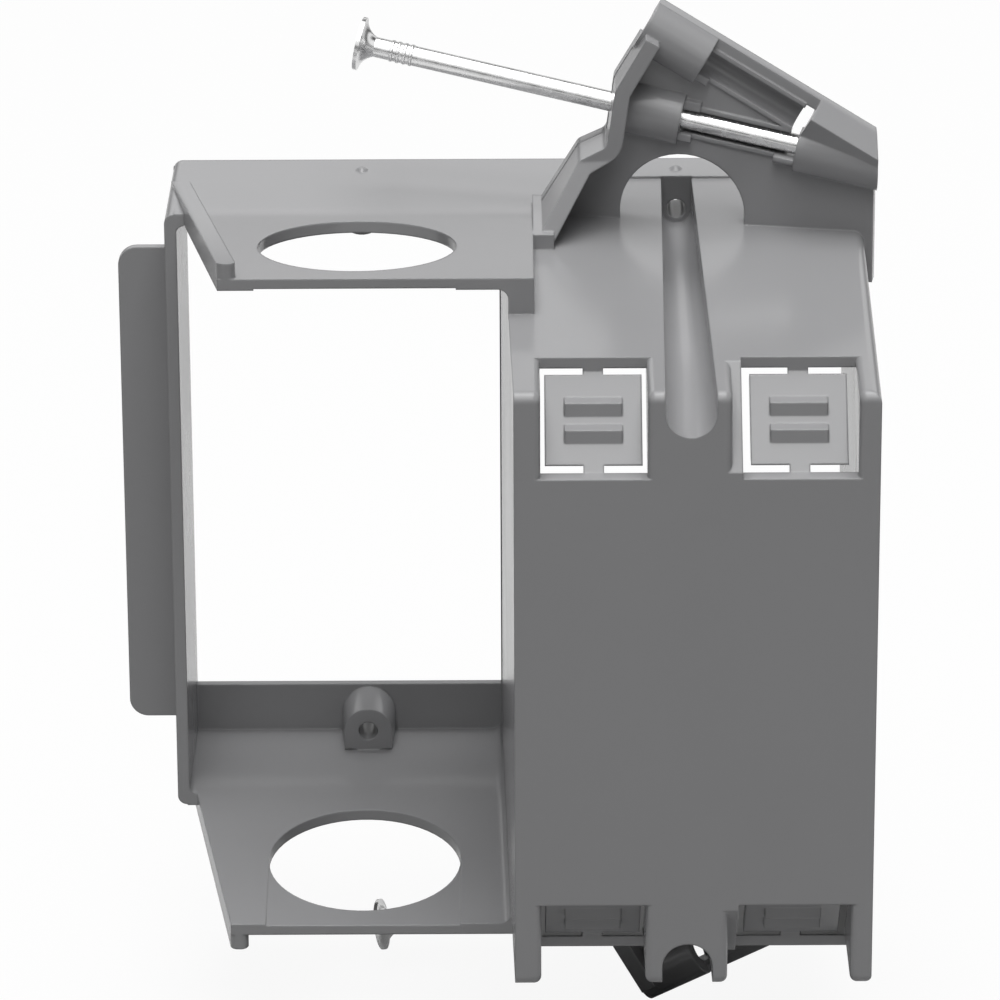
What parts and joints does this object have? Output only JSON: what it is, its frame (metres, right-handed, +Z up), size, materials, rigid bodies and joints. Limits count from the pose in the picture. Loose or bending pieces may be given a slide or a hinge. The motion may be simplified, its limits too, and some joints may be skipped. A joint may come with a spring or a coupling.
{
  "type": "switch box",
  "caption": "Nail-on wall box for two device gangs: a closed-back compartment beside an open-back frame, with toed nail brackets above and below.",
  "frame": {"origin": "middle of the four device-screw holes, on the front rim plane", "axes": "+X away from the stud, towards the open gang; +Y from the front rim to the back; +Z up"},
  "size_m": [0.1109, 0.0894, 0.1576],
  "materials": {
    "moulding": "satin moulded grey vinyl",
    "nail_steel": "bright zinc plating"
  },
  "bodies": {
    "box": {"box": "moulding"},
    "upper_nail": {"upper_nail": "nail_steel"},
    "lower_nail": {"lower_nail": "nail_steel"}
  },
  "joints": [
    {"name": "upper_nail_drive", "type": "slide", "parent": "box", "child": "upper_nail", "axis": [-0.9691, 0.1639, -0.1845], "range_m": [0, 0.0349]},
    {"name": "lower_nail_drive", "type": "slide", "parent": "box", "child": "lower_nail", "axis": [-0.9691, 0.1639, 0.1845], "range_m": [0, 0.0333]}
  ]
}
